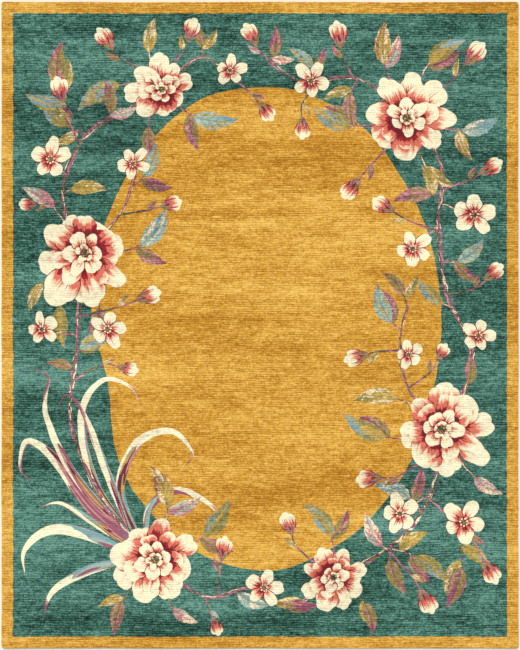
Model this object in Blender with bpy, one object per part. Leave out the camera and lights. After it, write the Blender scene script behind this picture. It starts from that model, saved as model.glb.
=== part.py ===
"""A hand-tufted rug lying flat: one slab of pile on its backing, eight feet by ten.

The slab is a stack of closed rings. Each ring is the rug's outline, drawn in by some inset and set
at some height: the rings run from the underside, up the cut edge of the pile, round its soft rim
and over the top. On the top they part the three plain colours of yarn: border, ground and medallion.
X is the width, Y the length, Z up, and the origin is the middle of the underside, on the floor.
"""

import math

import bmesh
import bpy

# Driving dimensions, in metres
WIDTH = 2.44
LENGTH = 3.05
THICKNESS = 0.012
BORDER_WIDTH = 0.054
CORNER_RADIUS = 0.014
RIM_RADIUS = 0.004

# The medallion: an oval of gold pile, a little off the middle of the rug
MEDALLION_WIDTH = 1.66
MEDALLION_LENGTH = 2.28
MEDALLION_CENTRE = (0.020, -0.010)

# The cut edges are hand-trimmed, so they wander inwards by up to this much
UNEVENNESS = 0.0025
# The share of the unevenness, and how many times it swells along the bottom, right, top and left edge
SWELLS = (
    (0.6, (3, 2, 2, 4)),
    (0.4, (7, 9, 6, 8)),
)

# How finely the rings are divided
STEPS_ALONG_WIDTH = 42
STEPS_ALONG_LENGTH = 52
STEPS_ROUND_CORNER = 4
STEPS_ROUND_RIM = 4
SHARPEST_CORNER = 0.001

# Colours of the yarns, linear, and the roughness of wool
GOLD = (0.68, 0.36, 0.066, 1.0)
TEAL = (0.060, 0.155, 0.120, 1.0)
ROUGHNESS = 0.95


def clear_scene():
    for obj in list(bpy.data.objects):
        bpy.data.objects.remove(obj, do_unlink=True)


def yarn(name, colour):
    material = bpy.data.materials.new(name)
    material.use_nodes = True
    shader = material.node_tree.nodes["Principled BSDF"]
    shader.inputs["Base Color"].default_value = colour
    shader.inputs["Roughness"].default_value = ROUGHNESS
    shader.inputs["Metallic"].default_value = 0.0
    return material


def drawn_in(side, along):
    """How far the trimmed edge lies inside the true rectangle, at a share of the way along a side."""
    swell = sum(share * math.sin(math.pi * counts[side] * along) ** 2 for share, counts in SWELLS)
    return UNEVENNESS * swell


def outline(inset):
    """The rug's outline as (x, y) points, anticlockwise from the bottom left, moved in by an inset."""
    radius = max(CORNER_RADIUS - inset, SHARPEST_CORNER)
    half_x = WIDTH / 2 - inset - radius
    half_y = LENGTH / 2 - inset - radius
    centres = ((-half_x, -half_y), (half_x, -half_y), (half_x, half_y), (-half_x, half_y))
    steps = (STEPS_ALONG_WIDTH, STEPS_ALONG_LENGTH) * 2
    points = []
    for side in range(4):
        (x0, y0), (x1, y1) = centres[side], centres[(side + 1) % 4]
        # The way out of the rug from this side: down, right, up or left
        turn = math.radians(90 * side - 90)
        out_x, out_y = math.cos(turn), math.sin(turn)
        for step in range(steps[side] + 1):
            along = step / steps[side]
            reach = radius - drawn_in(side, along)
            points.append((x0 + (x1 - x0) * along + out_x * reach, y0 + (y1 - y0) * along + out_y * reach))
        for step in range(1, STEPS_ROUND_CORNER):
            turned = turn + math.radians(90) * step / STEPS_ROUND_CORNER
            points.append((x1 + radius * math.cos(turned), y1 + radius * math.sin(turned)))
    return points


def medallion(like):
    """As many points of the oval as the outline has, each in the direction of the outline's own point."""
    centre_x, centre_y = MEDALLION_CENTRE
    points = []
    for x, y in like:
        turn = math.atan2(y / LENGTH, x / WIDTH)
        across = MEDALLION_WIDTH / 2 * math.cos(turn)
        along = MEDALLION_LENGTH / 2 * math.sin(turn)
        points.append((centre_x + across, centre_y + along))
    return points


def edge_profile():
    """(inset, height) of the rings that climb the cut edge and turn over the rim of the pile."""
    rows = [(0.0, 0.0), (0.0, THICKNESS - RIM_RADIUS)]
    for step in range(1, STEPS_ROUND_RIM + 1):
        turned = math.radians(90) * step / STEPS_ROUND_RIM
        inset = RIM_RADIUS * (1 - math.cos(turned))
        rows.append((inset, THICKNESS - RIM_RADIUS * (1 - math.sin(turned))))
    return rows


def add_ring(mesh, points, height):
    return [mesh.verts.new((x, y, height)) for x, y in points]


def add_band(mesh, lower, upper, slot):
    """The band of faces between two rings, facing away from the rug."""
    for here in range(len(lower)):
        after = (here + 1) % len(lower)
        face = mesh.faces.new((lower[here], lower[after], upper[after], upper[here]))
        face.material_index = slot


def rug():
    gold, teal = 0, 1
    mesh = bmesh.new()
    rings = [add_ring(mesh, outline(inset), height) for inset, height in edge_profile()]
    underside = mesh.faces.new(list(reversed(rings[0])))
    underside.material_index = gold
    for lower, upper in zip(rings, rings[1:]):
        add_band(mesh, lower, upper, gold)
    ground_outline = outline(BORDER_WIDTH)
    border_line = add_ring(mesh, ground_outline, THICKNESS)
    add_band(mesh, rings[-1], border_line, gold)
    oval = add_ring(mesh, medallion(ground_outline), THICKNESS)
    add_band(mesh, border_line, oval, teal)
    centre = mesh.faces.new(oval)
    centre.material_index = gold
    data = bpy.data.meshes.new("rug")
    mesh.to_mesh(data)
    mesh.free()
    data.materials.append(yarn("gold_wool", GOLD))
    data.materials.append(yarn("teal_wool", TEAL))
    data.shade_smooth()
    data.set_sharp_from_angle(angle=math.radians(40))
    slab = bpy.data.objects.new("rug", data)
    bpy.context.scene.collection.objects.link(slab)
    return slab


clear_scene()
rug()
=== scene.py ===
"""The look of a hand-tufted wool rug that lies flat on the floor, seen from straight above.

The rug is one closed mesh. Its top is cut from a drawing: the border, the ground, the oval and every
petal, leaf and stem of the wreath are closed outlines in one plan, and rows of points between them
stand as ribs of tufts. Each triangle of the top belongs to the last outline drawn over it, and takes
its yarn from there. The wreath is a plain floral one of its own design, made from short tables.
X is the width, Y the length, Z up, in metres.
"""

import math
from collections import namedtuple

import bpy
import numpy as np
from mathutils.geometry import delaunay_2d_cdt
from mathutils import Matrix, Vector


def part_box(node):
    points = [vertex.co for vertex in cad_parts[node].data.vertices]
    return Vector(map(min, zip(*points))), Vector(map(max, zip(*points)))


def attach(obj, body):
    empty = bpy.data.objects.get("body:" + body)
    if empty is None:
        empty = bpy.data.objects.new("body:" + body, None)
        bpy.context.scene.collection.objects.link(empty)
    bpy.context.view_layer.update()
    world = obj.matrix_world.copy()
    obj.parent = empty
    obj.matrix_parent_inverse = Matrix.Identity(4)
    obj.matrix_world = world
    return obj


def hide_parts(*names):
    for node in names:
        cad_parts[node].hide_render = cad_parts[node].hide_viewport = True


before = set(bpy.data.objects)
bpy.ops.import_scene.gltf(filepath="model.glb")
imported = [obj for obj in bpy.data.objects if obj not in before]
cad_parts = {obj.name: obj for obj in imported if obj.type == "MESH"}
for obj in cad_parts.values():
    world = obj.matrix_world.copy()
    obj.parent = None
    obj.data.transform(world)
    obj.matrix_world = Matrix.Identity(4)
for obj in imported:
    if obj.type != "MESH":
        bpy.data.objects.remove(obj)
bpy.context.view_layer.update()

RUG_LOW, RUG_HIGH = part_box("rug")
WIDTH = RUG_HIGH[0] - RUG_LOW[0]
LENGTH = RUG_HIGH[1] - RUG_LOW[1]
THICKNESS = RUG_HIGH[2] - RUG_LOW[2]

# The rug's edge. It is trimmed by hand and wanders inwards by up to the unevenness.
BORDER_WIDTH = 0.054
CORNER_RADIUS = 0.014
RIM_RADIUS = 0.004
UNEVENNESS = 0.0025
# The share of the unevenness, and how many times it swells along the bottom, right, top and left edge
SWELLS = (
    (0.6, (3, 2, 2, 4)),
    (0.4, (7, 9, 6, 8)),
)
EDGE_STEP = 0.010
STEPS_ROUND_CORNER = 5
STEPS_ROUND_RIM = 4
# How far the foot of the cut edge is drawn in, from as far up, and how far the edge's tufts bulge
TUCK = 0.001
TUFT_BULGE = 0.0006
# How far the border's inner line wavers, and by how many radians from one of its points to the next
BORDER_WAVER, BORDER_WAVES = 0.0012, 0.9

# The rows of tufts: their pitch, and how deep the groove between two rows is at most
ROW = 0.0110
GROOVE = 0.0006
# Along a row the groove's depth swings by this share either way, with so many radians for each metre
WORN, WORN_WAVES = 0.45, 42
# The phase between one row and the next, in radians, so that neighbours differ
ROW_PHASE = 37.1
# How far apart the mesh's points stand along a row
COLUMN = 0.050
# How many rows a drift moves them, its waves for each metre across and along, and its phase
DRIFTS = (
    (0.30, 0.9, 0.35, 0.4),
    (0.16, 2.3, 0.80, 2.1),
)
# How deep the slow lumps in the level of the pile are
LUMPS = 0.0003
# How far the edge of a motif steps sideways from one row to the next
RAGGED = 0.0011

# The oval. Its rim wanders by a share of its size, and dips in at one place, over so many degrees.
OVAL_WIDTH = 1.66
OVAL_LENGTH = 2.28
OVAL_CENTRE = (0.020, -0.010)
OVAL_STEPS = 420
OVAL_WANDER = 0.006
DIP_AT, DIP_SPREAD, DIP_DEPTH = 194.0, 13.0, 0.075

# The least half-width of anything drawn, and how far apart the points of a drawn outline stand
HAIR = 0.0009
OUTLINE_STEP = 0.006
# How many points a smooth line has from one given point to the next, before its even steps are read off
SPAN_STEPS = 24
# The patches' noises start at random places up to this far apart
NOISE_SPREAD = 40

SEED = 11
rng = np.random.default_rng(SEED)

# One closed outline of the drawing. Points are measured along its spine and, in half-widths, across it.
Patch = namedtuple("Patch", "ring yarn spine reach tone seed")
drawing = []


def draw(ring, yarn, spine=None, reach=1.0, tone=0.0):
    ring = np.array(ring, dtype=float)
    drawing.append(Patch(ring, yarn, spine, reach, tone, rng.uniform(0, NOISE_SPREAD)))


# Lines and outlines

def way(degrees):
    """The unit vector of a heading, and the one to its left."""
    turn = math.radians(degrees)
    ahead = np.array((math.cos(turn), math.sin(turn)))
    return ahead, np.array((-ahead[1], ahead[0]))


def moved(x, y, heading, distance):
    """A point, moved some distance along a heading."""
    return np.array((x, y)) + distance * way(heading)[0]


def smooth_line(points, step):
    """A smooth curve through the points, read off at even steps."""
    points = np.array(points, dtype=float)
    ends = np.vstack((2 * points[0] - points[1], points, 2 * points[-1] - points[-2]))
    t = np.linspace(0, 1, SPAN_STEPS, endpoint=False)[:, None]
    spans = []
    for p0, p1, p2, p3 in zip(ends, ends[1:], ends[2:], ends[3:]):
        spans.append(
            p1
            + 0.5 * t * (p2 - p0)
            + t**2 * (p0 - 2.5 * p1 + 2 * p2 - 0.5 * p3)
            + t**3 * (1.5 * (p1 - p2) + 0.5 * (p3 - p0))
        )
    curve = np.vstack(spans + [points[-1:]])
    travelled = np.append(0, np.cumsum(np.linalg.norm(np.diff(curve, axis=0), axis=1)))
    count = max(4, int(travelled[-1] / step))
    stations = np.linspace(0, travelled[-1], count)
    return np.column_stack([np.interp(stations, travelled, curve[:, axis]) for axis in (0, 1)])


def bent_line(x, y, heading, length, bend, steps=12):
    """A line from a point that turns by bend degrees over its length."""
    turns = np.radians(heading + bend * (np.arange(steps) + 0.5) / steps)
    moves = length / steps * np.column_stack((np.cos(turns), np.sin(turns)))
    return np.array((x, y)) + np.vstack(((0, 0), np.cumsum(moves, axis=0)))


def leftward(spine):
    """The unit vectors to the left of a line, at each of its points."""
    ahead = np.gradient(spine, axis=0)
    return np.column_stack((-ahead[:, 1], ahead[:, 0])) / np.linalg.norm(ahead, axis=1)[:, None]


def ribbon(spine, half_widths):
    """The ring round a spine that has a half-width at each of its points."""
    left = leftward(spine) * np.maximum(half_widths, HAIR)[:, None]
    return np.vstack((spine + left, (spine - left)[::-1]))


def disc(x, y, radius, yarn, tone, scallops=0, depth=0.0):
    """A round patch, with a scalloped rim where it has scallops."""
    steps = max(10, int(2 * math.pi * radius / OUTLINE_STEP))
    turn = np.linspace(0, 2 * math.pi, steps, endpoint=False)
    reach = radius * (1 - depth * (1 - np.abs(np.cos(scallops * turn / 2))))
    ring = np.column_stack((x + reach * np.cos(turn), y + reach * np.sin(turn)))
    spine = np.array(((x - radius, y), (x + radius, y)))
    draw(ring, yarn, spine, radius, tone)


# The parts of a plant

# A petal: how many degrees its rim turns to each side of the tip, how far up the middle of that turn lies,
# the foot's share of the width, and the rim's length for each metre of length and width
PETAL_WRAP = 128
PETAL_FAN = 0.56
PETAL_FOOT = 0.24
PETAL_RIM = 2.2
# The crease up each side of a petal: the share of the rim that it follows, its width and its tone
CREASE_SHARE = 0.24
CREASE_WIDTH = 0.0045
CREASE_TONE = -1.0
# The strokes up a petal: how many degrees each leans in a square petal, and how far it reaches
STROKES = ((-17, 0.34), (-4, 0.46), (11, 0.38), (23, 0.28))
# How far up a stroke starts and has its middle, and what its own reach is added to
STROKE_PLACES = (0.20, 0.36, 0.24)
STROKE_TAPER = np.array((1.0, 0.8, 0.2))
STROKE_WIDTH = 0.0060
STROKE_TONE = -0.26
# Shorter petals than this have finer strokes
LONG_PETAL = 0.10


def petal(x, y, heading, length, width, lobes, tone, notch=0.17):
    """A petal that stands on a point: a narrow foot, then a fan whose rim has round lobes."""
    steps = max(13, int(PETAL_RIM * (length + width) / OUTLINE_STEP))
    turn = np.radians(np.linspace(-PETAL_WRAP, PETAL_WRAP, steps))
    shift = 0 if lobes % 2 else math.pi / 2
    lobe = 1 - np.abs(np.cos(lobes * turn / 2 + shift))
    phases = rng.uniform(0, 2 * math.pi, 2)
    uneven = 0.035 * np.sin(2 * turn + phases[0]) + 0.025 * np.sin(5 * turn + phases[1])
    reach = 1 - notch * lobe**1.5 + uneven
    along = np.concatenate(((0,), PETAL_FAN + (1 - PETAL_FAN) * reach * np.cos(turn), (0,)))
    across = np.concatenate(((-PETAL_FOOT,), reach * np.sin(turn), (PETAL_FOOT,)))
    ahead, left = way(heading)
    foot = np.array((x, y))
    ring = foot + along[:, None] * length * ahead + across[:, None] * width / 2 * left
    spine = np.array((foot, foot + length * ahead))
    draw(ring, "petal", spine, width / 2, tone)
    # The crimson line that parts the petal from its neighbours, up both sides from the foot
    reach = 2 + int(steps * CREASE_SHARE)
    for side in (ring[:reach], ring[:-reach - 1:-1]):
        half = np.linspace(CREASE_WIDTH / 2, HAIR, reach)
        draw(ribbon(side, half), "petal", spine, width / 2, CREASE_TONE)
    if lobes > 1:
        for turn, share in STROKES:
            out, _ = way(heading + turn * width / length + rng.uniform(-5, 5))
            start, middle, end = STROKE_PLACES
            end += share * rng.uniform(0.8, 1.2)
            stroke = np.array([foot + length * part * out for part in (start, middle, end)])
            half = STROKE_WIDTH / 2 * min(1.0, length / LONG_PETAL)
            draw(ribbon(stroke, half * STROKE_TAPER), "petal", spine, width / 2, tone + STROKE_TONE)


# How much paler the petals on the leaning side of a whorl are
LEAN_TONE = 0.14


def whorl(x, y, count, first, inner, outer, width, lobes, tone, lean, side, spread=0.08):
    """A ring of petals round a point. Those on the leaning side are longer and paler."""
    order = list(range(0, count, 2)) + list(range(1, count, 2))
    for index in order:
        heading = first + 360 / count * (index + rng.uniform(-0.12, 0.12))
        towards = math.cos(math.radians(heading - lean))
        reach = (outer - inner) * (1 + side * towards + rng.uniform(-spread, spread))
        foot = moved(x, y, heading, inner)
        breadth = width * (1 + rng.uniform(-spread, spread))
        level = tone + LEAN_TONE * towards + rng.uniform(-0.07, 0.07)
        petal(*foot, heading, reach, breadth, lobes[index % len(lobes)], level)


def peony(x, y, across, turn, lean):
    """A full flower: whorls of petals with dark throats between the inner ones, and stamens."""
    x2, y2 = moved(x, y, lean + 180, 0.035 * across)
    outer = np.array((0.12, 0.50, 0.31)) * across
    inner = np.array((0.08, 0.365, 0.25)) * across
    cup = np.array((0.03, 0.220, 0.170)) * across
    core = np.array((0.01, 0.100, 0.080)) * across
    whorl(x, y, 8, turn, *outer, (4, 3, 5, 3), -0.08, lean, 0.12, 0.22)
    whorl(x2, y2, 7, turn + 24, *inner, (3, 4), -0.20, lean, 0.10, 0.20)
    disc(x2, y2, 0.215 * across, "petal", -0.9, 11, 0.22)
    whorl(x2, y2, 6, turn + 50, *cup, (3, 4, 3), 0.08, lean, 0.14, 0.18)
    disc(x2, y2, 0.098 * across, "petal", -0.8, 9, 0.25)
    whorl(x2, y2, 5, turn + 10, *core, (2, 1), -0.02, lean, 0.2)
    heart(x2, y2, 0.050 * across)


# How many stamens stand round the middle of a flower
STAMENS = 7


def heart(x, y, radius):
    """The middle of a flower: a disc of fine yarn with a ring of stamens."""
    disc(x, y, radius, "heart", 0.0, 6, 0.2)
    for index in range(STAMENS):
        place = moved(x, y, 360 / STAMENS * index + 15, 1.25 * radius)
        disc(*place, 0.30 * radius, "heart", 0.5)


# The dark threads in the middle of an open flower: how many, and their half-widths at foot and tip
THREADS = 10
THREAD_HALVES = np.array((0.0018, 0.0013))


def blossom(x, y, across, turn):
    """An open flower with five lobed petals."""
    whorl(x, y, 5, turn, 0.02 * across, 0.50 * across, 0.35 * across, (2, 3), 0.19, turn, 0.06, 0.16)
    for index in range(THREADS):
        ahead, _ = way(turn + 360 / THREADS * (index + 0.5))
        start = np.array((x, y)) + 0.03 * across * ahead
        spine = np.array((start, start + rng.uniform(0.12, 0.19) * across * ahead))
        draw(ribbon(spine, THREAD_HALVES), "petal", spine, 0.002, -1.0)
    heart(x, y, 0.065 * across)


# A leaf: its breadth for its length, its teeth on each side, and how deep they are for its breadth
LEAF_BREADTH = 0.38
LEAF_TEETH = 5
TOOTH_DEPTH = 0.16
# Below one, leaves and blades are broadest below their middle
BELLY = 0.75
TWIG_WIDTH = 0.009


def leaf(x, y, heading, length, bend, tone, breadth=LEAF_BREADTH):
    """A pointed leaf, broad below its middle, with a toothed edge."""
    steps = max(8, int(length / OUTLINE_STEP))
    spine = bent_line(x, y, heading, length, bend, steps)
    t = np.linspace(0, 1, steps + 1)
    teeth = 1 + TOOTH_DEPTH * (np.mod(t * LEAF_TEETH, 1) - 0.5)
    half = breadth * length / 2
    draw(ribbon(spine, half * np.sin(math.pi * t**BELLY) * teeth), "leaf", spine, half, tone)


def stem(points, width, tone, taper):
    """A smooth stem that loses the taper's share of its width on its way."""
    spine = smooth_line(points, 0.009)
    t = np.linspace(0, 1, len(spine))
    draw(ribbon(spine, width / 2 * (1 - taper * t)), "stem", spine, width / 2, tone)


# A vine: how far apart its points stand, and how far it runs for each radian that its strands twist
VINE_STEP = 0.012
VINE_TWIST = 0.085
VINE_TAPER = 0.3


def vine(width, tone, points):
    """Two strands that run together and cross."""
    spine = smooth_line(points, VINE_STEP)
    sway = np.sin(np.arange(len(spine)) * VINE_STEP / VINE_TWIST)[:, None]
    aside = 0.55 * width * (leftward(spine) * sway)[::3]
    stem(spine[::3] + aside, width, tone, VINE_TAPER)
    stem(spine[::3] - aside, 0.6 * width, tone + 0.5, VINE_TAPER)


def spray(x, y, heading, length, bend, leaves, size, tone):
    """A bent twig with a leaf at its tip, and others below it on alternate sides."""
    twig = bent_line(x, y, heading, length, 0.5 * bend)
    half = TWIG_WIDTH / 2
    draw(ribbon(twig, np.linspace(half, TWIG_WIDTH / 3, len(twig))), "stem", twig, half, tone)
    for index in range(leaves - 1):
        at = twig[int((0.85 - 0.42 * index) * (len(twig) - 1))]
        side = 1 if index % 2 else -1
        out = heading + side * rng.uniform(46, 66)
        leaf(*at, out, size * rng.uniform(0.74, 0.92), -35 * side, tone + 0.3 * (index + 1))
    leaf(*twig[-1], heading + 0.5 * bend, size, bend, tone)


# A bud: the tone of its cup, and the turn, share of the length and change of tone of its petals
BUD_CUP = 0.45
BUD_PETALS = ((-16, 0.86, -0.08), (15, 0.90, -0.08), (0, 1.0, 0.0))


def bud(x, y, heading, length, tone):
    """A closed bud in its cup: three petals that overlap, two sepals at its foot."""
    for turn, share, shade in BUD_PETALS:
        petal(x, y, heading + turn, length * share, 0.44 * length, 1, tone + shade, 0.1)
    for side in (-1, 1):
        start = moved(x, y, heading, -0.10 * length)
        leaf(*start, heading + 38 * side, 0.62 * length, -56 * side, BUD_CUP, 0.30)
    disc(*moved(x, y, heading, -0.02 * length), 0.11 * length, "leaf", BUD_CUP)


def blade(width, tone, points):
    """A long blade of grass, broad below its middle, that curls to a point."""
    spine = smooth_line(points, 0.010)
    t = np.linspace(0, 1, len(spine))
    half = width / 2 * np.sin(math.pi * t**BELLY)
    draw(ribbon(spine, half), "blade", spine, width / 2, tone)


# The wreath

# Width in metres, tone, and the points that the vine runs through
VINES = (
    (0.014, 0.1, ((-0.54, -1.06), (-0.76, -0.8), (-0.89, -0.44), (-0.86, -0.05), (-0.84, 0.34))),
    (0.014, 0.3, ((-0.84, 0.34), (-0.93, 0.62), (-0.83, 0.88), (-0.62, 1.02), (-0.45, 1.12))),
    (0.014, 0.0, ((0.34, -1.19), (0.58, -1.07), (0.79, -0.84), (0.88, -0.5))),
    (0.014, 0.2, ((0.88, -0.5), (1.0, -0.16), (0.88, 0.16), (0.84, 0.48), (0.86, 0.74), (0.7, 1.0))),
    (0.01, 0.4, ((0.7, 1.0), (0.46, 1.16), (0.2, 1.15), (0.04, 1.24))),
    (0.01, 0.1, ((-0.45, 1.12), (-0.28, 1.26), (-0.12, 1.17))),
    (0.01, 0.3, ((-0.5, -1.12), (-0.26, -1.28), (-0.04, -1.24), (0.14, -1.33), (0.36, -1.2))),
    (0.01, 0.5, ((0.88, -0.5), (0.7, -0.3), (0.66, -0.08), (0.7, 0.1))),
    (0.01, 0.0, ((-0.84, 0.34), (-0.66, 0.52), (-0.58, 0.74))),
)

# Large flowers: x, y, across, turn, and the heading that they lean to
PEONIES = (
    (-0.84, 0.33, 0.45, 12, 215),
    (0.7, 0.99, 0.42, 40, 60),
    (0.87, -0.5, 0.45, 5, 330),
    (-0.5, -1.12, 0.42, 30, 250),
    (-0.47, 1.12, 0.3, 8, 130),
    (0.35, -1.2, 0.31, 22, 290),
)

# Open flowers: x, y, across, turn
BLOSSOMS = (
    (-0.99, 0.78, 0.2, 15),
    (-0.6, 0.76, 0.16, 50),
    (-0.72, -0.02, 0.19, 80),
    (-1.03, -0.02, 0.16, 33),
    (1.01, 0.52, 0.21, 10),
    (0.72, 0.36, 0.18, 44),
    (1.03, -0.05, 0.17, 70),
    (0.66, -0.89, 0.19, 25),
    (0.96, -0.93, 0.21, 60),
    (0.02, -1.24, 0.18, 5),
    (0.24, 1.15, 0.18, 62),
    (-0.14, 1.2, 0.15, 20),
    (0.7, -0.14, 0.14, 30),
)

# Short stems that carry open flowers: where each starts and ends
STALKS = (
    ((0.84, 0.47), (0.73, 0.37)),
    ((0.86, 0.57), (1.0, 0.52)),
    ((-0.86, -0.05), (-1.02, -0.02)),
    ((-0.91, 0.7), (-0.98, 0.78)),
    ((0.8, -0.8), (0.66, -0.89)),
)

# Buds: where the twig starts, where the bud stands, its heading, its length and its tone
BUDS = (
    ((-0.54, 1.2), (-0.7, 1.31), 125, 0.112, -0.1),
    ((-0.42, 1.22), (-0.34, 1.35), 70, 0.106, -0.06),
    ((-0.12, 1.16), (0.0, 1.04), 310, 0.098, -0.12),
    ((0.08, 1.22), (-0.02, 1.33), 120, 0.106, -0.04),
    ((0.44, 1.16), (0.38, 1.32), 100, 0.116, -0.12),
    ((0.8, 1.06), (0.98, 1.24), 50, 0.122, -0.06),
    ((0.65, 0.89), (0.46, 0.68), 230, 0.11, -0.1),
    ((0.86, 0.64), (1.05, 0.72), 30, 0.106, -0.14),
    ((0.84, 0.44), (0.62, 0.54), 150, 0.106, -0.08),
    ((0.885, 0.14), (1.07, 0.22), 40, 0.1, -0.12),
    ((0.66, -0.12), (0.5, -0.14), 195, 0.108, -0.06),
    ((0.8, -0.62), (0.56, -0.72), 185, 0.112, -0.1),
    ((0.8, -0.82), (1.06, -1.12), 300, 0.116, -0.14),
    ((0.6, -1.06), (0.76, -1.26), 300, 0.118, -0.08),
    ((0.28, -1.14), (0.15, -0.98), 110, 0.104, -0.06),
    ((-0.2, -1.27), (-0.18, -1.1), 80, 0.106, -0.12),
    ((-0.26, -1.28), (-0.22, -1.39), 290, 0.08, -0.16),
    ((-0.85, 0.04), (-0.57, 0.12), 20, 0.112, -0.08),
    ((-0.92, 0.58), (-1.06, 0.57), 180, 0.08, -0.14),
    ((-0.85, 0.84), (-0.93, 1.06), 105, 0.116, -0.06),
    ((-0.66, 0.52), (-0.46, 0.56), 15, 0.098, -0.1),
    ((-0.88, -0.26), (-0.66, -0.2), 350, 0.09, -0.08),
    ((0.7, -0.3), (0.84, -0.16), 60, 0.084, -0.1),
    ((0.3, 1.16), (0.2, 0.97), 270, 0.096, -0.08),
)

# Leaves from under a large flower: which one, the way out, twig, bend, number of leaves, length, tone
PEONY_LEAVES = (
    (0, 5, 0.05, 50, 2, 0.22, 0.3),
    (0, 118, 0.03, 30, 1, 0.18, 0.9),
    (0, 214, 0.0, 30, 1, 0.15, 0.75),
    (0, 245, 0.03, 30, 1, 0.2, 0.1),
    (0, 292, 0.03, -40, 1, 0.2, 0.55),
    (1, 72, 0.05, -40, 2, 0.21, 0.1),
    (1, 118, 0.05, -30, 2, 0.21, 0.65),
    (1, 195, 0.05, -40, 2, 0.22, 0.15),
    (1, 285, 0.04, 40, 1, 0.17, 0.75),
    (1, 340, 0.05, 40, 2, 0.19, 0.35),
    (2, 60, 0.02, 30, 1, 0.15, 0.45),
    (2, 142, 0.04, 40, 1, 0.21, 0.7),
    (2, 190, 0.05, -40, 2, 0.23, 0.1),
    (2, 300, 0.03, 30, 1, 0.16, 0.92),
    (3, 25, 0.05, 30, 2, 0.22, 0.15),
    (3, 72, 0.05, 40, 2, 0.22, 0.65),
    (3, 228, 0.02, 30, 2, 0.17, 0.5),
    (3, 290, 0.02, 40, 1, 0.14, 0.88),
    (4, 110, 0.02, -30, 1, 0.17, 0.7),
    (4, 172, 0.04, 40, 1, 0.24, 0.1),
    (4, 250, 0.04, 30, 1, 0.18, 0.5),
    (4, 315, 0.05, 40, 2, 0.22, 0.2),
    (5, 90, 0.05, 40, 2, 0.2, 0.1),
    (5, 215, 0.02, -30, 1, 0.15, 0.75),
    (5, 325, 0.02, -40, 2, 0.16, 0.45),
)

# Leafy twigs from a vine: x, y, heading, length, bend, number of leaves, length of a leaf, tone
SPRAYS = (
    (-0.27, 1.26, 85, 0.05, 30, 2, 0.14, 0.45),
    (-0.82, 0.9, 165, 0.1, -30, 3, 0.17, 0.15),
    (-0.88, 0.98, 125, 0.16, -40, 3, 0.22, 0.4),
    (-0.72, 0.96, 60, 0.04, 40, 2, 0.16, 0.55),
    (-0.92, 0.62, 40, 0.03, -40, 1, 0.18, 0.7),
    (-0.62, 0.64, 30, 0.09, 40, 2, 0.18, 0.25),
    (-0.87, -0.14, 60, 0.03, -40, 2, 0.19, 0.2),
    (-0.87, -0.22, 128, 0.02, 40, 1, 0.13, 0.45),
    (-0.12, -1.25, 300, 0.02, 40, 1, 0.17, 0.3),
    (0.1, -1.31, 330, 0.02, 30, 1, 0.16, 0.5),
    (0.6, -1.05, 350, 0.14, -30, 3, 0.2, 0.15),
    (0.6, -1.06, 155, 0.03, -40, 1, 0.18, 0.9),
    (0.62, -1.04, 255, 0.06, 40, 1, 0.19, 0.45),
    (0.76, -0.88, 120, 0.08, 40, 2, 0.19, 0.3),
    (0.94, -0.98, 280, 0.16, -30, 3, 0.21, 0.5),
    (0.66, -0.02, 150, 0.05, -40, 2, 0.2, 0.25),
    (0.695, 0.06, 92, 0.08, 40, 2, 0.15, 0.45),
    (0.91, 0.08, 165, 0.05, -30, 1, 0.17, 0.05),
    (0.86, 0.3, 350, 0.07, 50, 2, 0.17, 0.2),
    (0.85, 0.6, 150, 0.04, 40, 2, 0.19, 0.5),
    (0.46, 1.16, 235, 0.07, 40, 2, 0.17, 0.4),
    (0.28, 1.15, 110, 0.07, 30, 2, 0.15, 0.2),
    (0.04, 1.24, 45, 0.03, 40, 2, 0.15, 0.6),
)

# Blades of grass: width, tone, and the points of the curl
BLADES = (
    (0.052, 0.0, ((-0.6, -1.04), (-0.8, -0.86), (-0.98, -0.62),
        (-1.1, -0.55), (-1.13, -0.68), (-1.07, -0.74))),
    (0.044, 0.4, ((-0.58, -1.04), (-0.78, -0.74), (-0.84, -0.42),
        (-0.74, -0.26), (-0.6, -0.3), (-0.57, -0.4))),
    (0.054, 0.2, ((-0.6, -1.08), (-0.84, -0.98), (-1.0, -0.97),
        (-1.11, -1.06), (-1.11, -1.18))),
    (0.046, 0.7, ((-0.56, -1.02), (-0.66, -0.78), (-0.58, -0.56),
        (-0.42, -0.5), (-0.32, -0.6), (-0.36, -0.68))),
    (0.04, 0.1, ((-0.6, -1.02), (-0.88, -0.7), (-1.01, -0.42),
        (-1.0, -0.25), (-1.08, -0.2))),
    (0.046, 0.6, ((-0.6, -1.1), (-0.82, -1.16), (-0.98, -1.26),
        (-1.02, -1.38))),
    (0.038, 0.3, ((-0.54, -1.04), (-0.52, -0.86), (-0.38, -0.78),
        (-0.22, -0.86), (-0.18, -0.96))),
    (0.036, 0.8, ((-0.58, -1.06), (-0.8, -0.92), (-0.94, -0.84),
        (-1.04, -0.86))),
    (0.038, 0.5, ((-0.59, -1.03), (-0.72, -0.7), (-0.83, -0.42),
        (-0.91, -0.33), (-0.955, -0.39))),
)


# How far out under a large flower its twigs start, and how far on they show, as shares of its width
UNDER_PETALS = 0.38
PAST_PETALS = 0.13


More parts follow.
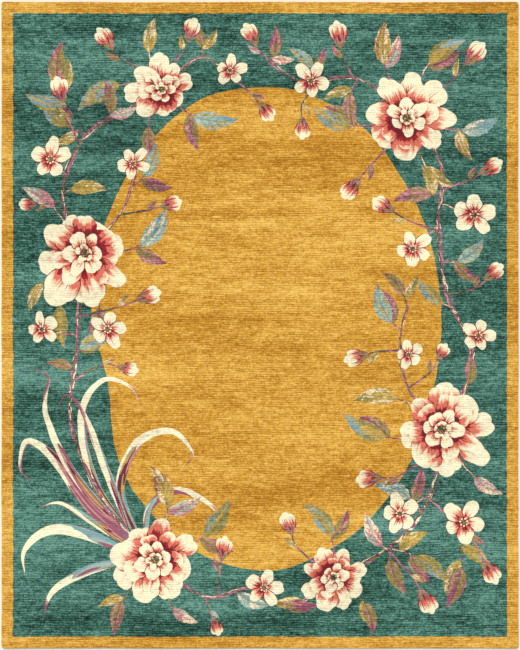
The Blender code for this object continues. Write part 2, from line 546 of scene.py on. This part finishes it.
def wreath():
    for row in BLADES:
        blade(*row)
    for row in VINES:
        vine(*row)
    for index, heading, twig, bend, leaves, size, tone in PEONY_LEAVES:
        x, y, across, _, _ = PEONIES[index]
        foot = moved(x, y, heading, UNDER_PETALS * across)
        spray(*foot, heading, PAST_PETALS * across + twig, bend, leaves, size, tone)
    for row in SPRAYS:
        spray(*row)
    for start, end in STALKS:
        stem((start, end), TWIG_WIDTH, 0.1, 0.2)
    for start, end, heading, length, tone in BUDS:
        middle = moved(*end, heading, -0.35 * np.linalg.norm(np.subtract(end, start)))
        stem((start, middle, end), TWIG_WIDTH * 1.2, tone + 0.5, 0.35)
        leaf(*middle, heading + 50, 0.7 * length, -40, 4 * tone)
        bud(*end, heading, length, tone)
    for row in BLOSSOMS:
        blossom(*row)
    for row in PEONIES:
        peony(*row)


# The plain parts of the drawing

def trimmed_in(side, along):
    """How far the trimmed edge lies inside the true rectangle, at a share of the way along a side."""
    swell = sum(share * math.sin(math.pi * counts[side] * along) ** 2 for share, counts in SWELLS)
    return UNEVENNESS * swell


def rug_outline(inset):
    """The rug's outline, anticlockwise from the bottom left, moved in by an inset."""
    radius = max(CORNER_RADIUS - inset, HAIR)
    half_x = WIDTH / 2 - inset - radius
    half_y = LENGTH / 2 - inset - radius
    centres = ((-half_x, -half_y), (half_x, -half_y), (half_x, half_y), (-half_x, half_y))
    points = []
    for side in range(4):
        start, end = np.array(centres[side]), np.array(centres[(side + 1) % 4])
        out, _ = way(90 * side - 90)
        steps = int(np.linalg.norm(end - start) / EDGE_STEP)
        for step in range(steps + 1):
            along = step / steps
            points.append(start + (end - start) * along + out * (radius - trimmed_in(side, along)))
        for step in range(1, STEPS_ROUND_CORNER):
            out, _ = way(90 * side - 90 + 90 * step / STEPS_ROUND_CORNER)
            points.append(end + radius * out)
    return np.array(points)


def oval_outline():
    degrees = np.linspace(0, 360, OVAL_STEPS, endpoint=False)
    turn = np.radians(degrees)
    wander = OVAL_WANDER * (np.sin(3 * turn + 1.0) + 0.6 * np.sin(7 * turn) + 0.4 * np.sin(13 * turn + 2.0))
    dip = DIP_DEPTH * np.exp(-(((degrees - DIP_AT) / DIP_SPREAD) ** 2))
    reach = 1 + wander - dip
    x = OVAL_CENTRE[0] + OVAL_WIDTH / 2 * reach * np.cos(turn)
    y = OVAL_CENTRE[1] + OVAL_LENGTH / 2 * reach * np.sin(turn)
    return np.column_stack((x, y))


# The top, cut from the drawing

def row_at(x, y):
    """Which row of tufts a point lies in. Whole numbers are the grooves between rows."""
    drift = 0
    for rows, waves_across, waves_along, phase in DRIFTS:
        drift = drift + rows * np.sin(2 * math.pi * (waves_across * x + waves_along * y) + phase)
    return y / ROW + drift


def pile_height(x, y):
    """How high the pile stands: the full height, less the groove and the lumps."""
    row = row_at(x, y)
    groove_swing = 1 - WORN + WORN * np.sin(WORN_WAVES * x + ROW_PHASE * np.round(row))
    groove = GROOVE * groove_swing * (0.5 + 0.5 * np.cos(2 * math.pi * row))
    across = np.sin(31 * x + 3 * np.sin(17 * y))
    along = np.sin(43 * y + 2 * np.sin(23 * x))
    return THICKNESS - groove - LUMPS * (0.5 + 0.25 * across + 0.25 * along)


def ragged(ring):
    """The ring with its edge stepped a little sideways from row to row."""
    row = np.floor(row_at(ring[:, 0], ring[:, 1]))
    return ring + RAGGED * np.column_stack((np.sin(row * ROW_PHASE), np.zeros(len(ring))))


def tuft_points():
    """Points on the crest and in the groove of every row."""
    edge = RIM_RADIUS + UNEVENNESS + ROW / 2
    columns = int((WIDTH - 2 * edge) / COLUMN)
    last = math.ceil(LENGTH / 2 / ROW)
    rows = np.arange(-last, last + 0.5, 0.5)
    x, row = np.meshgrid(np.linspace(edge - WIDTH / 2, WIDTH / 2 - edge, columns), rows)
    y = row * ROW
    # The rows' drift depends on y, so y is found in a few steps
    for _ in range(3):
        y = y + ROW * (row - row_at(x, y))
    keep = np.abs(y) < LENGTH / 2 - edge
    return np.column_stack((x[keep], y[keep]))


def inside(ring, points):
    """Which points a closed ring winds round."""
    x, y = points.T
    turns = np.zeros(len(points), dtype=int)
    for (x0, y0), (x1, y1) in zip(ring, np.roll(ring, -1, axis=0)):
        left_of = (x1 - x0) * (y - y0) - (x - x0) * (y1 - y0)
        turns += (y0 <= y) & (y1 > y) & (left_of > 0)
        turns -= (y0 > y) & (y1 <= y) & (left_of < 0)
    return turns != 0


def within(ring, points):
    """The numbers of the points inside a ring."""
    near = np.flatnonzero(((points > ring.min(axis=0)) & (points < ring.max(axis=0))).all(axis=1))
    return near[inside(ring, points[near])]


def shown_edges(rings):
    """The points and edges of the rings, but for edges under a later ring or under the border."""
    points = np.vstack(rings)
    starts = np.cumsum([0] + [len(ring) for ring in rings])
    after = [start + np.roll(np.arange(len(ring)), -1) for start, ring in zip(starts, rings)]
    after = np.concatenate(after)
    outside = ~inside(rings[1], points)
    covered = outside & outside[after]
    for start, ring in zip(starts, rings):
        under = np.zeros(start, dtype=bool)
        under[within(ring, points[:start])] = True
        covered[:start] |= under & under[after[:start]]
    # The rug's own outline and the border's inner line are never covered
    covered[:starts[2]] = False
    shown = np.flatnonzero(~covered)
    used, edges = np.unique(np.column_stack((shown, after[shown])), return_inverse=True)
    return points[used], edges.reshape(-1, 2)


# Points closer than this are one point of the plan
MERGE = 1e-6


def triangulate(rings, loose):
    """One flat sheet of triangles that has every edge of the rings that shows."""
    points, edges = shown_edges(rings)
    points = np.vstack((points, loose))
    result = delaunay_2d_cdt([tuple(p) for p in points], edges.tolist(), [], 0, MERGE, False)
    flat = np.array([tuple(v) for v in result[0]])
    triangles = np.array([face for face in result[2] if len(face) == 3])
    a, b, c = (flat[triangles[:, i]] for i in range(3))
    turned = (b[:, 0] - a[:, 0]) * (c[:, 1] - a[:, 1]) - (b[:, 1] - a[:, 1]) * (c[:, 0] - a[:, 0]) < 0
    triangles[turned] = triangles[turned][:, ::-1]
    return flat, triangles


def owners(flat, triangles):
    """For each triangle, the last patch drawn over it, the border over all, or -1 outside the rug."""
    middles = flat[triangles].mean(axis=1)
    owner = np.full(len(triangles), -1)
    for index, patch in enumerate(drawing):
        owner[within(patch.ring, middles)] = index
    border, ground = drawing[:2]
    owner[~inside(ground.ring, middles)] = 0
    owner[~inside(border.ring, middles)] = -1
    return owner


def measured(patch, points):
    """How far each point lies along the patch's spine and across it, as shares of length and reach."""
    start, step = patch.spine[:-1], np.diff(patch.spine, axis=0)
    length = np.linalg.norm(step, axis=1)
    offset = points[:, None] - start
    share = np.clip((offset * step).sum(axis=2) / length**2, 0, 1)
    gap = offset - share[..., None] * step
    nearest = (gap**2).sum(axis=2).argmin(axis=1)
    every = np.arange(len(points))
    gap, share, step = gap[every, nearest], share[every, nearest], step[nearest]
    behind = np.append(0, np.cumsum(length))
    along = (behind[nearest] + share * length[nearest]) / behind[-1]
    side = np.sign(step[:, 0] * gap[:, 1] - step[:, 1] * gap[:, 0])
    return along, side * np.linalg.norm(gap, axis=1) / patch.reach


def rim_of(triangles):
    """The vertices round the sheet's rim, in order."""
    after = {}
    sides = set()
    for a, b, c in triangles.tolist():
        sides.update(((a, b), (b, c), (c, a)))
    for a, b in sides:
        if (b, a) not in sides:
            after[a] = b
    loop = [next(iter(after))]
    while after[loop[-1]] != loop[0]:
        loop.append(after[loop[-1]])
    return loop


# The rug

YARNS = ("gold", "teal", "petal", "heart", "leaf", "stem", "blade", "canvas")


def edge_profile():
    """How far out and how high each ring round the cut edge of the pile lies, from the top down."""
    rows = []
    for step in range(1, STEPS_ROUND_RIM + 1):
        turned = math.radians(90) * step / STEPS_ROUND_RIM
        rows.append((RIM_RADIUS * math.sin(turned), THICKNESS - RIM_RADIUS * (1 - math.cos(turned))))
    rows.append((RIM_RADIUS, THICKNESS * 0.4))
    rows.append((RIM_RADIUS - TUCK * 0.3, TUCK))
    rows.append((RIM_RADIUS - TUCK, 0.0))
    return rows


# The flat map, as (left, bottom, width, height): the top fills its left four fifths. At the right, strips
# hold the cut edge, one for each quarter of the way round, over a small plan of the underside.
TOP_PLACE = (0.004, 0.005, 0.990 * WIDTH / LENGTH, 0.990)
UNDER_PLACE = (0.815, 0.010, 0.180, 0.225)
STRIP_PLACE = (0.820, 0.26, 0.034, 0.73)
STRIP_PITCH = 0.045
STRIPS = 4


def mapped(place, right, up):
    """The spots in a place of the flat map, from the shares of the way right and up."""
    left, bottom, width, height = place
    return np.column_stack((left + width * right, bottom + height * up))


def in_plan(place, points):
    return mapped(place, points[:, 0] / WIDTH + 0.5, points[:, 1] / LENGTH + 0.5)


def cut_top():
    """The top as flat points and triangles, and for each triangle the patch that owns it."""
    border, ground = rug_outline(RIM_RADIUS), rug_outline(BORDER_WIDTH)
    draw(border, "gold")
    draw(ground + BORDER_WAVER * np.sin(np.arange(len(ground)) * BORDER_WAVES)[:, None], "teal")
    draw(oval_outline(), "gold")
    wreath()
    rings = [drawing[0].ring] + [ragged(patch.ring) for patch in drawing[1:]]
    for index, ring in enumerate(rings):
        drawing[index] = drawing[index]._replace(ring=ring)
    flat, triangles = triangulate(rings, tuft_points())
    owner = owners(flat, triangles)
    triangles, owner = triangles[owner >= 0], owner[owner >= 0]
    used, triangles = np.unique(triangles, return_inverse=True)
    return flat[used], triangles.reshape(-1, 3), owner


def cut_edge(flat, loop):
    """The points down the cut edge, the faces between its rings, and the lowest ring's point numbers."""
    around = flat[loop]
    tangent = np.roll(around, -1, axis=0) - np.roll(around, 1, axis=0)
    out = np.column_stack((tangent[:, 1], -tangent[:, 0])) / np.linalg.norm(tangent, axis=1)[:, None]
    points, faces = [], []
    count = len(loop)
    upper = loop
    for level, (reach, height) in enumerate(edge_profile()):
        bulge = TUFT_BULGE * np.sin(np.arange(count) * (2.1 + 0.2 * level)) if height > TUCK else 0
        spread = np.zeros(count) + reach - TUFT_BULGE + bulge
        points.append(np.column_stack((around + out * spread[:, None], np.full(count, height))))
        lower = len(flat) + count * level + np.arange(count)
        faces.append(np.column_stack((lower, np.roll(lower, -1), np.roll(upper, -1), upper)))
        upper = lower
    return np.vstack(points), np.vstack(faces), upper


def placed(name, data):
    """A new object in the scene."""
    thing = bpy.data.objects.new(name, data)
    bpy.context.scene.collection.objects.link(thing)
    return thing


def rug_pile():
    """The rug as one closed mesh."""
    flat, triangles, owner = cut_top()
    loop = np.array(rim_of(triangles))
    edge, sides, foot = cut_edge(flat, loop)
    top = np.column_stack((flat, pile_height(flat[:, 0], flat[:, 1])))
    vertices = np.vstack((top, edge))
    faces = triangles.tolist() + sides.tolist() + [foot[::-1].tolist()]
    mesh = bpy.data.meshes.new("rug_pile")
    mesh.from_pydata(vertices.tolist(), [], faces)

    dye(mesh, flat, triangles, owner)
    smooth = np.zeros(len(faces), dtype=bool)
    smooth[len(triangles):-1] = True
    mesh.polygons.foreach_set("use_smooth", smooth)
    row = mesh.attributes.new("row", "FLOAT", "POINT")
    row.data.foreach_set("value", row_at(vertices[:, 0], vertices[:, 1]).astype(np.float32))
    lay_out(mesh, triangles, vertices, len(loop))
    mesh.validate()
    return placed("rug_pile", mesh)


def dye(mesh, flat, triangles, owner):
    """Give each face its yarn, and each corner its place on the petal, leaf or stem it belongs to."""
    drawn = np.zeros((len(mesh.loops), 3), dtype=np.float32)
    tone = np.zeros(len(mesh.polygons), dtype=np.float32)
    slot = np.full(len(mesh.polygons), YARNS.index("gold"))
    slot[-1] = YARNS.index("canvas")
    for index in np.unique(owner):
        patch = drawing[index]
        mine = np.flatnonzero(owner == index)
        slot[mine] = YARNS.index(patch.yarn)
        tone[mine] = patch.tone
        if patch.spine is not None:
            # The corners of the triangles come first among the mesh's corners, three for each
            corners = (3 * mine[:, None] + np.arange(3)).ravel()
            along, across = measured(patch, flat[triangles[mine]].reshape(-1, 2))
            drawn[corners] = np.column_stack((along, across, np.full(len(along), patch.seed)))
    mesh.attributes.new("drawn", "FLOAT_VECTOR", "CORNER").data.foreach_set("vector", drawn.ravel())
    mesh.attributes.new("tone", "FLOAT", "FACE").data.foreach_set("value", tone)
    mesh.polygons.foreach_set("material_index", slot)


def lay_out(mesh, triangles, vertices, count):
    """The flat map that the finish is kept in. The cut edge has count points round it."""
    top = triangles.ravel()
    levels = len(edge_profile())
    step = np.tile(np.arange(count), levels)
    level = np.repeat(np.arange(levels), count)
    corners = []
    for ahead, down in ((0, 1), (1, 1), (1, 0), (0, 0)):
        # The last step of a strip ends at the strip's own end, so it stays on its strip
        strip = np.minimum(step * STRIPS // count, STRIPS - 1)
        share = np.minimum((step + ahead) / count, (strip + 1) / STRIPS - 1e-6)
        spots = mapped(STRIP_PLACE, (level + down) / levels, share * STRIPS - strip)
        spots[:, 0] += STRIP_PITCH * strip
        corners.append(spots)
    sides = np.stack(corners, axis=1).reshape(-1, 2)
    under = in_plan(UNDER_PLACE, vertices[-count:][::-1])
    places = np.vstack((in_plan(TOP_PLACE, vertices[top]), sides, under)).astype(np.float32)
    mesh.uv_layers.new(name="OFBake").data.foreach_set("uv", places.ravel())


# The finish

BLACK = (0, 0, 0, 1)
WHITE = (1, 1, 1, 1)
MAROON = (0.165, 0.014, 0.020, 1)
CRIMSON = (0.310, 0.017, 0.028, 1)
CORAL = (0.700, 0.170, 0.110, 1)
BLUSH = (0.830, 0.440, 0.290, 1)
SHELL = (0.880, 0.680, 0.440, 1)
CREAM = (0.920, 0.830, 0.560, 1)
MAUVE = (0.320, 0.098, 0.145, 1)
PLUM = (0.150, 0.030, 0.060, 1)
PINK = (0.560, 0.260, 0.250, 1)
ROSE = (0.340, 0.140, 0.090, 1)
OLIVE = (0.290, 0.240, 0.065, 1)
MOSS = (0.150, 0.170, 0.060, 1)
STRAW = (0.540, 0.350, 0.080, 1)
BLUE = (0.200, 0.345, 0.370, 1)
MIST = (0.340, 0.450, 0.380, 1)
SLATE = (0.050, 0.095, 0.075, 1)
PETAL_STOPS = ((0.0, MAROON), (0.08, CRIMSON), (0.22, CORAL), (0.43, BLUSH), (0.50, SHELL), (0.58, CREAM))
HEART_STOPS = ((0.0, MAROON), (0.22, SLATE), (0.34, OLIVE), (0.44, STRAW), (0.56, CREAM))
# A leaf's yarns by its tone: at its foot, towards its tip, in its fingers of light and in its veins
LEAF_FEET = ((0.0, OLIVE), (0.18, MIST), (0.38, OLIVE), (0.60, STRAW), (0.82, PINK))
LEAF_TIPS = ((0.0, BLUE), (0.38, MAUVE), (0.60, ROSE), (0.68, OLIVE), (0.82, SHELL))
LEAF_LIGHTS = ((0.0, STRAW), (0.28, SHELL), (0.38, PINK), (0.60, SHELL), (0.82, MIST))
LEAF_VEINS = ((0.0, STRAW), (0.18, MOSS), (0.38, PLUM), (0.60, MOSS), (0.82, MAUVE))
STEM_STOPS = (
    (0.0, MAUVE), (0.22, PINK), (0.32, MAUVE), (0.50, SLATE), (0.64, OLIVE), (0.74, PLUM), (0.86, SHELL)
)
# The stripes at a blade's foot, and its yarns from there to the tip
BLADE_STRIPES = (
    (0.0, MAUVE), (0.20, MIST), (0.36, BLUE), (0.52, STRAW), (0.62, PLUM), (0.72, PINK), (0.84, MAUVE)
)
BLADE_STOPS = ((0.0, CREAM), (0.88, PINK), (0.94, MAUVE))
# Dark, middle and light shades of a plain yarn, and the two tints between which its knots vary
GOLD_SHADES = ((0.330, 0.125, 0.005, 1), (0.645, 0.318, 0.033, 1), (0.880, 0.570, 0.135, 1))
GOLD_TINTS = ((1.00, 0.97, 0.65, 1), (1.01, 1.02, 1.35, 1))
TEAL_SHADES = ((0.001, 0.011, 0.007, 1), (0.043, 0.145, 0.103, 1), (0.180, 0.378, 0.303, 1))
TEAL_TINTS = ((1.00, 0.98, 1.15, 1), (1.00, 1.02, 0.87, 1))
CANVAS_DEEP = (0.420, 0.360, 0.270, 1)
CANVAS_PALE = (0.560, 0.490, 0.380, 1)
ROUGHNESS = 0.95
SHEEN = 0.10
SPECULAR = 0.2
# The strength and the depth of the bumps
PILE_BUMP = (0.5, 0.0015)
CANVAS_BUMP = (1.0, 0.0005)
# The tone of the pile between its grooves, and the tones of a plain yarn's darkest and lightest shade
PILE_TONE = 1.14
DARKEST, LIGHTEST = 0.2, 1.8
# The painted shade in a groove darkens by so many times a noise, less a part that is spared
GROOVE_SHADE, GROOVE_SPARED = 2.0, 0.45
# How strongly the rows' light and dark show in each motif: their uneven yarn tone and the painted shade in
# their grooves
CONTRAST = {"petal": 0.26, "heart": 0.6, "leaf": 0.6, "stem": 0.8, "blade": 0.35}
# A leaf: where its foot's yarn gives way to its tip's, how strong its light fingers and its veins are, how
# many side veins it has and how they slant, and its midrib's breadth
LEAF_CHANGE = ((0.28, BLACK), (0.44, WHITE))
FINGER_STRENGTH, VEIN_STRENGTH = 0.8, 0.5
SIDE_VEINS, VEIN_SLANT, MIDRIB = 6.0, -1.2, 0.08
# Where along a blade its stripes give way to its plain yarn
STRIPES_END = 0.46
# The radians for each metre of the canvas's threads
CANVAS_WAVES = 1250


class Nodes:
    """Short ways to add and join the nodes of one tree."""

    def __init__(self, tree):
        self.tree = tree

    def add(self, kind, *values, **settings):
        node = self.tree.nodes.new(kind)
        for name, value in settings.items():
            setattr(node, name, value)
        for socket, value in zip(node.inputs, values):
            self.put(socket, value)
        return node

    def put(self, socket, value):
        if isinstance(value, bpy.types.NodeSocket):
            self.tree.links.new(value, socket)
        elif value is not None:
            socket.default_value = value

    def math(self, operation, *values):
        return self.add("ShaderNodeMath", *values, operation=operation).outputs[0]

    def times(self, one, other):
        return self.math("MULTIPLY", one, other)

    def plus(self, one, other):
        return self.math("ADD", one, other)

    def times_plus(self, one, other, rest):
        return self.math("MULTIPLY_ADD", one, other, rest)

    def place(self):
        return self.add("ShaderNodeTexCoord").outputs["Object"]

    def split(self, vector):
        return self.add("ShaderNodeSeparateXYZ", vector).outputs

    def noise_at(self, vector, detail):
        return self.add("ShaderNodeTexNoise", vector, None, 1.0, detail).outputs[0]

    def noise(self, x, across, y, along, level, detail=0.0):
        """The noise at x and y, each times a scale of its own, on a level of its own."""
        spot = self.add("ShaderNodeCombineXYZ", self.times(x, across), self.times(y, along), level)
        return self.noise_at(spot.outputs[0], detail)

    def read(self, name):
        return self.add("ShaderNodeAttribute", attribute_name=name).outputs

    def steps(self, factor, stops):
        """The colour of the last stop that the factor has passed."""
        return self.ramp(factor, stops, "CONSTANT")

    def ramp(self, factor, stops, interpolation="LINEAR"):
        """A ramp through (place, colour) stops."""
        node = self.add("ShaderNodeValToRGB", factor)
        node.color_ramp.interpolation = interpolation
        elements = node.color_ramp.elements
        while len(elements) > 1:
            elements.remove(elements[-1])
        elements[0].position, elements[0].color = stops[0]
        for place, colour in stops[1:]:
            elements.new(place).color = colour
        return node.outputs[0]

    def mixed(self, share, one, other):
        """One colour with a share of another laid over it."""
        # Among a mix node's many sockets, these three are its colours
        mix = self.add("ShaderNodeMix", share, data_type="RGBA")
        self.put(mix.inputs[6], one)
        self.put(mix.inputs[7], other)
        return mix.outputs[2]

    def bump(self, shader, height, strength, distance):
        node = self.add("ShaderNodeBump", strength, distance)
        self.put(node.inputs["Height"], height)
        self.put(shader.inputs["Normal"], node.outputs[0])

    def on_motif(self):
        """The place on a petal or leaf: along it, across it, a number of its own, and its tone."""
        along, across, seed = self.split(self.read("drawn")["Vector"])
        return along, across, seed, self.read("tone")["Fac"]

    def shaded(self, colour, tone, contrast):
        """The colour of a motif with the rows' light and dark, at a contrast of its own: the yarn's uneven
        tone and the painted shade in the grooves between rows.
        """
        scale = self.math("POWER", tone, contrast)
        result = self.add("ShaderNodeVectorMath", colour, operation="SCALE")
        self.put(result.inputs["Scale"], scale)
        return result.outputs[0]

    def sum_of(self, *terms):
        """The sum of (weight, noise) terms, each noise taken about its middle."""
        total = 0.0
        for weight, socket in terms:
            centred = self.math("SUBTRACT", socket, 0.5)
            total = self.times_plus(centred, weight, total)
        return total


def pile_group():
    """The rows of tufts: how light each place is, about 1, with painted shade in the grooves between rows,
    and how high.
    """
    tree = bpy.data.node_groups.new("pile rows", "ShaderNodeTree")
    tree.interface.new_socket("Tone", in_out="OUTPUT", socket_type="NodeSocketFloat")
    tree.interface.new_socket("Height", in_out="OUTPUT", socket_type="NodeSocketFloat")
    nodes = Nodes(tree)
    row = nodes.read("row")["Fac"]
    place = nodes.place()
    x, y, _ = nodes.split(place)
    index = nodes.math("FLOOR", row)
    # Streaks along a row, single knots in it, loose fibres, and the drift of the dye from band to band
    streak = nodes.noise(x, 19, index, 7.31, 0.3, 1.0)
    knot = nodes.noise(x, 92, index, 5.17, 2.3)
    fuzz = nodes.noise(x, 42, y, 330, 6.6, 1.0)
    grain = nodes.noise(x, 260, y, 310, 1.7)
    drift = nodes.noise(x, 5.0, y, 22, 5.1, 1.0)
    band = nodes.noise(x, 1.1, y, 5.5, 9.4, 2.0)
    # The groove between two rows, and the painted shade laid in it, deeper in some places than in others
    fall = nodes.math("ABSOLUTE", nodes.times_plus(nodes.math("FRACT", row), 2.0, -1.0))
    groove = nodes.math("POWER", fall, 2.0)
    # This noise sets how dark the painted shade in the groove is
    groove_swing = nodes.noise(x, 9, index, 3.77, 7.7)
    depth = nodes.times_plus(groove_swing, -GROOVE_SHADE, GROOVE_SPARED)
    # The painted shade between the rows, darkest in the middle of the groove
    shade = nodes.times(groove, nodes.math("MINIMUM", depth, 0.0))
    plain = nodes.sum_of((0.95, streak), (0.8, knot), (2.0, fuzz), (1.8, grain), (0.7, drift), (1.5, band))
    tone = nodes.plus(nodes.plus(plain, PILE_TONE), shade)
    fine = nodes.add("ShaderNodeVectorMath", place, (260.0, 420.0, 260.0), operation="MULTIPLY").outputs[0]
    height = nodes.times_plus(nodes.noise_at(fine, 1.0), 0.8, knot)
    output = nodes.add("NodeGroupOutput")
    nodes.put(output.inputs["Tone"], nodes.math("MAXIMUM", tone, DARKEST))
    nodes.put(output.inputs["Height"], nodes.times_plus(groove, -0.6, height))
    return tree


def new_material(name, roughness):
    """A material, its nodes and its shader."""
    material = bpy.data.materials.new(name)
    material.use_nodes = True
    shader = material.node_tree.nodes["Principled BSDF"]
    shader.inputs["Roughness"].default_value = roughness
    return material, Nodes(material.node_tree), shader


def wool(name, pile, colouring):
    """A material of wool pile. Its colour comes from colouring(nodes, tone of the rows)."""
    material, nodes, shader = new_material(name, ROUGHNESS)
    rows = nodes.add("ShaderNodeGroup", node_tree=pile)
    nodes.put(shader.inputs["Base Color"], colouring(nodes, rows.outputs["Tone"]))
    nodes.bump(shader, rows.outputs["Height"], *PILE_BUMP)
    shader.inputs["Sheen Weight"].default_value = SHEEN
    shader.inputs["Specular IOR Level"].default_value = SPECULAR
    return material


def plain_wool(shades, tints):
    """Yarn of one dye: its shades from dark to light, and two tints that single knots take."""
    def colouring(nodes, tone):
        span = LIGHTEST - DARKEST
        # The tone holds the yarn's uneven light and dark and the painted shade in the grooves between rows
        level = nodes.times_plus(tone, 1 / span, -DARKEST / span)
        shade = nodes.ramp(level, tuple(zip((0.0, 0.5, 1.0), shades)))
        x, y, _ = nodes.split(nodes.place())
        knots = nodes.noise(x, 55, y, 130, 4.0, 1.0)
        tint = nodes.ramp(knots, tuple(zip((0.35, 0.65), tints)))
        return nodes.add("ShaderNodeVectorMath", shade, tint, operation="MULTIPLY").outputs[0]
    return colouring


def petal_wool(nodes, rows):
    """Crimson at the foot, then coral and blush fingers, then cream."""
    along, across, seed, tone = nodes.on_motif()
    fingers = nodes.noise(across, 2.6, along, 0.45, seed, 1.0)
    flecks = nodes.noise(across, 9, along, 7, seed)
    up = nodes.plus(along, tone)
    factor = nodes.plus(up, nodes.sum_of((0.70, fingers), (0.18, flecks)))
    colour = nodes.steps(factor, PETAL_STOPS)
    return nodes.shaded(colour, rows, CONTRAST["petal"])


def heart_wool(nodes, rows):
    along, across, seed, tone = nodes.on_motif()
    spots = nodes.noise(across, 3, along, 6, seed)
    factor = nodes.times_plus(spots, 0.8, nodes.math("SUBTRACT", tone, 0.1))
    return nodes.shaded(nodes.steps(factor, HEART_STOPS), rows, CONTRAST["heart"])


def leaf_wool(nodes, rows):
    """One yarn at the foot gives way, knot by knot, to another, under fingers of a third and fine veins."""
    along, across, seed, tone = nodes.on_motif()
    x, y, _ = nodes.split(nodes.place())
    kind = nodes.math("FRACT", tone)
    patches = nodes.noise(across, 1.1, along, 0.9, seed, 1.0)
    knots = nodes.noise(x, 90, y, 110, seed)
    change = nodes.times_plus(along, 0.7, nodes.sum_of((2.4, patches), (1.0, knots)))
    change = nodes.times_plus(across, 0.12, change)
    foot = nodes.steps(kind, LEAF_FEET)
    tip = nodes.steps(kind, LEAF_TIPS)
    body = nodes.mixed(nodes.ramp(change, LEAF_CHANGE), foot, tip)
    fingers = nodes.noise(across, 2.3, along, 2.2, nodes.plus(seed, 50.0), 1.0)
    light = nodes.math("GREATER_THAN", nodes.sum_of((1.0, fingers), (0.4, knots)), 0.07)
    lights = nodes.steps(kind, LEAF_LIGHTS)
    body = nodes.mixed(nodes.times(light, FINGER_STRENGTH), body, lights)
    breadth = nodes.math("ABSOLUTE", across)
    slant = nodes.times_plus(breadth, VEIN_SLANT, nodes.times(along, SIDE_VEINS))
    beat = nodes.math("ABSOLUTE", nodes.math("SUBTRACT", nodes.math("FRACT", slant), 0.5))
    side_vein = nodes.math("GREATER_THAN", beat, 0.42)
    vein = nodes.math("MAXIMUM", side_vein, nodes.math("LESS_THAN", breadth, MIDRIB))
    veins = nodes.steps(kind, LEAF_VEINS)
    colour = nodes.mixed(nodes.times(vein, VEIN_STRENGTH), body, veins)
    return nodes.shaded(colour, rows, CONTRAST["leaf"])


def stem_wool(nodes, rows):
    """Yarn that changes colour along the stem, lighter on one side."""
    _, across, seed, tone = nodes.on_motif()
    x, y, _ = nodes.split(nodes.place())
    change = nodes.noise(x, 12, y, 12, seed, 1.0)
    factor = nodes.plus(tone, nodes.sum_of((1.6, change)))
    factor = nodes.times_plus(across, 0.12, factor)
    colour = nodes.steps(nodes.math("FRACT", factor), STEM_STOPS)
    return nodes.shaded(colour, rows, CONTRAST["stem"])


def blade_wool(nodes, rows):
    """Long stripes of mauve, blue and straw that give way to cream, with a mauve tip."""
    along, across, seed, tone = nodes.on_motif()
    stripes = nodes.noise(across, 0.8, along, 1.4, seed, 1.0)
    kind = nodes.math("FRACT", nodes.plus(tone, nodes.sum_of((2.2, stripes))))
    low = nodes.steps(kind, BLADE_STRIPES)
    change = nodes.plus(along, nodes.sum_of((0.9, stripes)))
    change = nodes.times_plus(across, 0.16, change)
    high = nodes.steps(change, BLADE_STOPS)
    colour = nodes.mixed(nodes.math("GREATER_THAN", change, STRIPES_END), low, high)
    return nodes.shaded(colour, rows, CONTRAST["blade"])


def canvas():
    """The backing cloth under the rug: plain crossed threads."""
    material, nodes, shader = new_material("backing_canvas", 0.9)
    place = nodes.place()
    x, y, _ = nodes.split(place)
    warp = nodes.math("SINE", nodes.times(x, CANVAS_WAVES))
    weft = nodes.math("SINE", nodes.times(y, CANVAS_WAVES))
    crossed = nodes.times(warp, weft)
    weave = nodes.times_plus(crossed, 0.25, nodes.noise_at(place, 3.0))
    nodes.put(shader.inputs["Base Color"], nodes.ramp(weave, ((0.2, CANVAS_DEEP), (0.8, CANVAS_PALE))))
    nodes.bump(shader, weave, *CANVAS_BUMP)
    return material


def finish_pile(piece):
    pile = pile_group()
    colourings = {
        "gold": plain_wool(GOLD_SHADES, GOLD_TINTS),
        "teal": plain_wool(TEAL_SHADES, TEAL_TINTS),
        "petal": petal_wool,
        "heart": heart_wool,
        "leaf": leaf_wool,
        "stem": stem_wool,
        "blade": blade_wool,
    }
    for yarn in YARNS:
        made = wool(yarn + "_wool", pile, colourings[yarn]) if yarn in colourings else canvas()
        piece.data.materials.append(made)


# The studio

CAMERA_HEIGHT = 10.0
FRAME_HEIGHT = 3.065
SENSOR = 36.0
FLOOR_SIZE = 14.0
FLOOR_COLOUR = (0.87, 0.83, 0.71, 1)
SKY_LIGHT = 0.60
SUN_LIGHT = 2.1
SUN_TILT = (-38, -14)
SUN_SOFTNESS = 25


def studio():
    scene = bpy.context.scene
    scene.view_settings.view_transform = "Standard"
    world = bpy.data.worlds.new("studio")
    world.use_nodes = True
    sky = world.node_tree.nodes["Background"]
    sky.inputs["Color"].default_value = WHITE
    sky.inputs["Strength"].default_value = SKY_LIGHT
    scene.world = world

    sun = placed("sun", bpy.data.lights.new("sun", "SUN"))
    sun.data.energy = SUN_LIGHT
    sun.data.angle = math.radians(SUN_SOFTNESS)
    sun.rotation_euler = (math.radians(SUN_TILT[0]), math.radians(SUN_TILT[1]), 0)
    sun.location = (0, 3, 4)

    lens = bpy.data.cameras.new("camera")
    lens.sensor_width = SENSOR
    lens.lens = SENSOR * (CAMERA_HEIGHT - THICKNESS) / FRAME_HEIGHT
    lens.clip_end = 100
    camera = placed("camera", lens)
    camera.location = (0, 0, CAMERA_HEIGHT)
    scene.camera = camera


def floor():
    half = FLOOR_SIZE / 2
    corners = [(-half, -half, 0), (half, -half, 0), (half, half, 0), (-half, half, 0)]
    mesh = bpy.data.meshes.new("floor")
    mesh.from_pydata(corners, [], [(0, 1, 2, 3)])
    material, _, shader = new_material("floor_paint", 0.9)
    shader.inputs["Base Color"].default_value = FLOOR_COLOUR
    mesh.materials.append(material)
    return placed("floor", mesh)


def main():
    studio()
    floor()
    piece = rug_pile()
    finish_pile(piece)
    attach(piece, "root")
    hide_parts("rug")


main()
